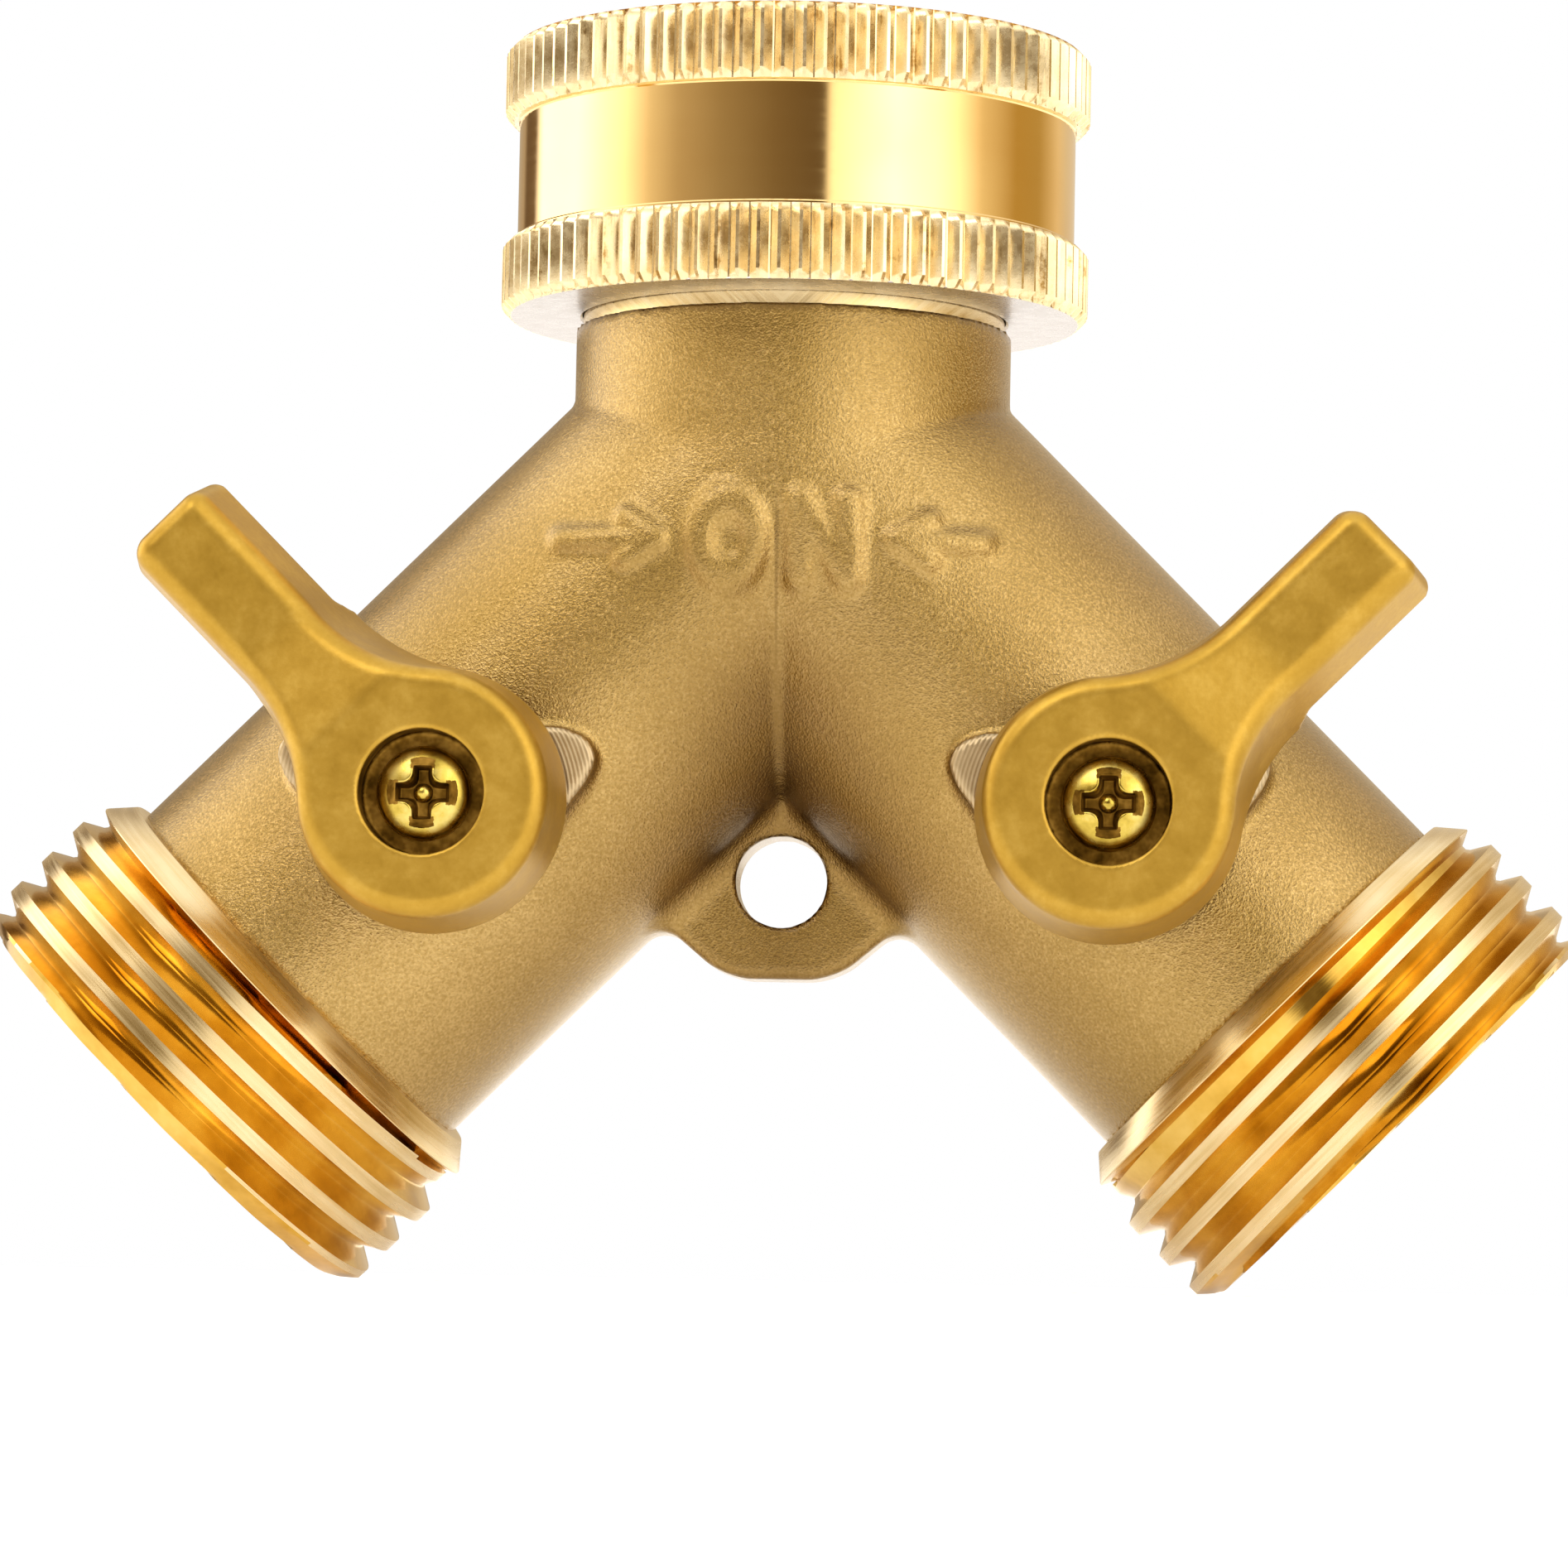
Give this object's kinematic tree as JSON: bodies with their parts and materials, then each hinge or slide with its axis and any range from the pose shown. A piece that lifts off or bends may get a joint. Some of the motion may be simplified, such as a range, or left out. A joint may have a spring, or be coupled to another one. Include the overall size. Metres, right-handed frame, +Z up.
{
  "type": "two-way garden hose splitter",
  "caption": "Cast brass Y-shaped splitter with a swivelling inlet nut, threaded outlets, a ball valve and lever on each arm, and a hanging hole.",
  "frame": {"origin": "centre of the swivel nut's mouth, where the tap enters", "axes": "+Z up out of the nut along the inlet, +X towards the right-hand outlet seen from the front, the levers on the -Y side"},
  "size_m": [0.0814, 0.0342, 0.064],
  "materials": {
    "cast_brass": "sandblasted casting",
    "turned_brass": "turned and polished",
    "bright_brass": "turned",
    "satin_handle": "satin gold-coloured casting",
    "screw_brass": "yellow plated",
    "chromed_ball": "polished",
    "white_ptfe": "white, waxy",
    "black_rubber": "matt black"
  },
  "bodies": {
    "body": {"y_body": "cast_brass", "nut_retaining_ring": "bright_brass", "left_inner_seat": "white_ptfe", "left_outer_seat": "white_ptfe", "left_seat_retainer": "turned_brass", "right_inner_seat": "white_ptfe", "right_outer_seat": "white_ptfe", "right_seat_retainer": "turned_brass"},
    "nut": {"swivel_nut": "turned_brass", "inlet_washer": "black_rubber"},
    "left_valve": {"left_ball": "chromed_ball", "left_stem": "bright_brass", "left_stem_thrust_washer": "white_ptfe", "left_stem_o_ring": "black_rubber", "left_handle": "satin_handle", "left_handle_screw": "screw_brass"},
    "right_valve": {"right_ball": "chromed_ball", "right_stem": "bright_brass", "right_stem_thrust_washer": "white_ptfe", "right_stem_o_ring": "black_rubber", "right_handle": "satin_handle", "right_handle_screw": "screw_brass"}
  },
  "joints": [
    {"name": "nut_spin", "type": "hinge", "parent": "body", "child": "nut", "pos_m": [0, 0, 0], "axis": [0, 0, 1], "continuous": true},
    {"name": "left_valve_turn", "type": "hinge", "parent": "body", "child": "left_valve", "pos_m": [-0.01683, 0, -0.04018], "axis": [0, 1, 0], "range_deg": [0, 90]},
    {"name": "right_valve_turn", "type": "hinge", "parent": "body", "child": "right_valve", "pos_m": [0.01683, 0, -0.04018], "axis": [0, -1, 0], "range_deg": [0, 90]}
  ]
}
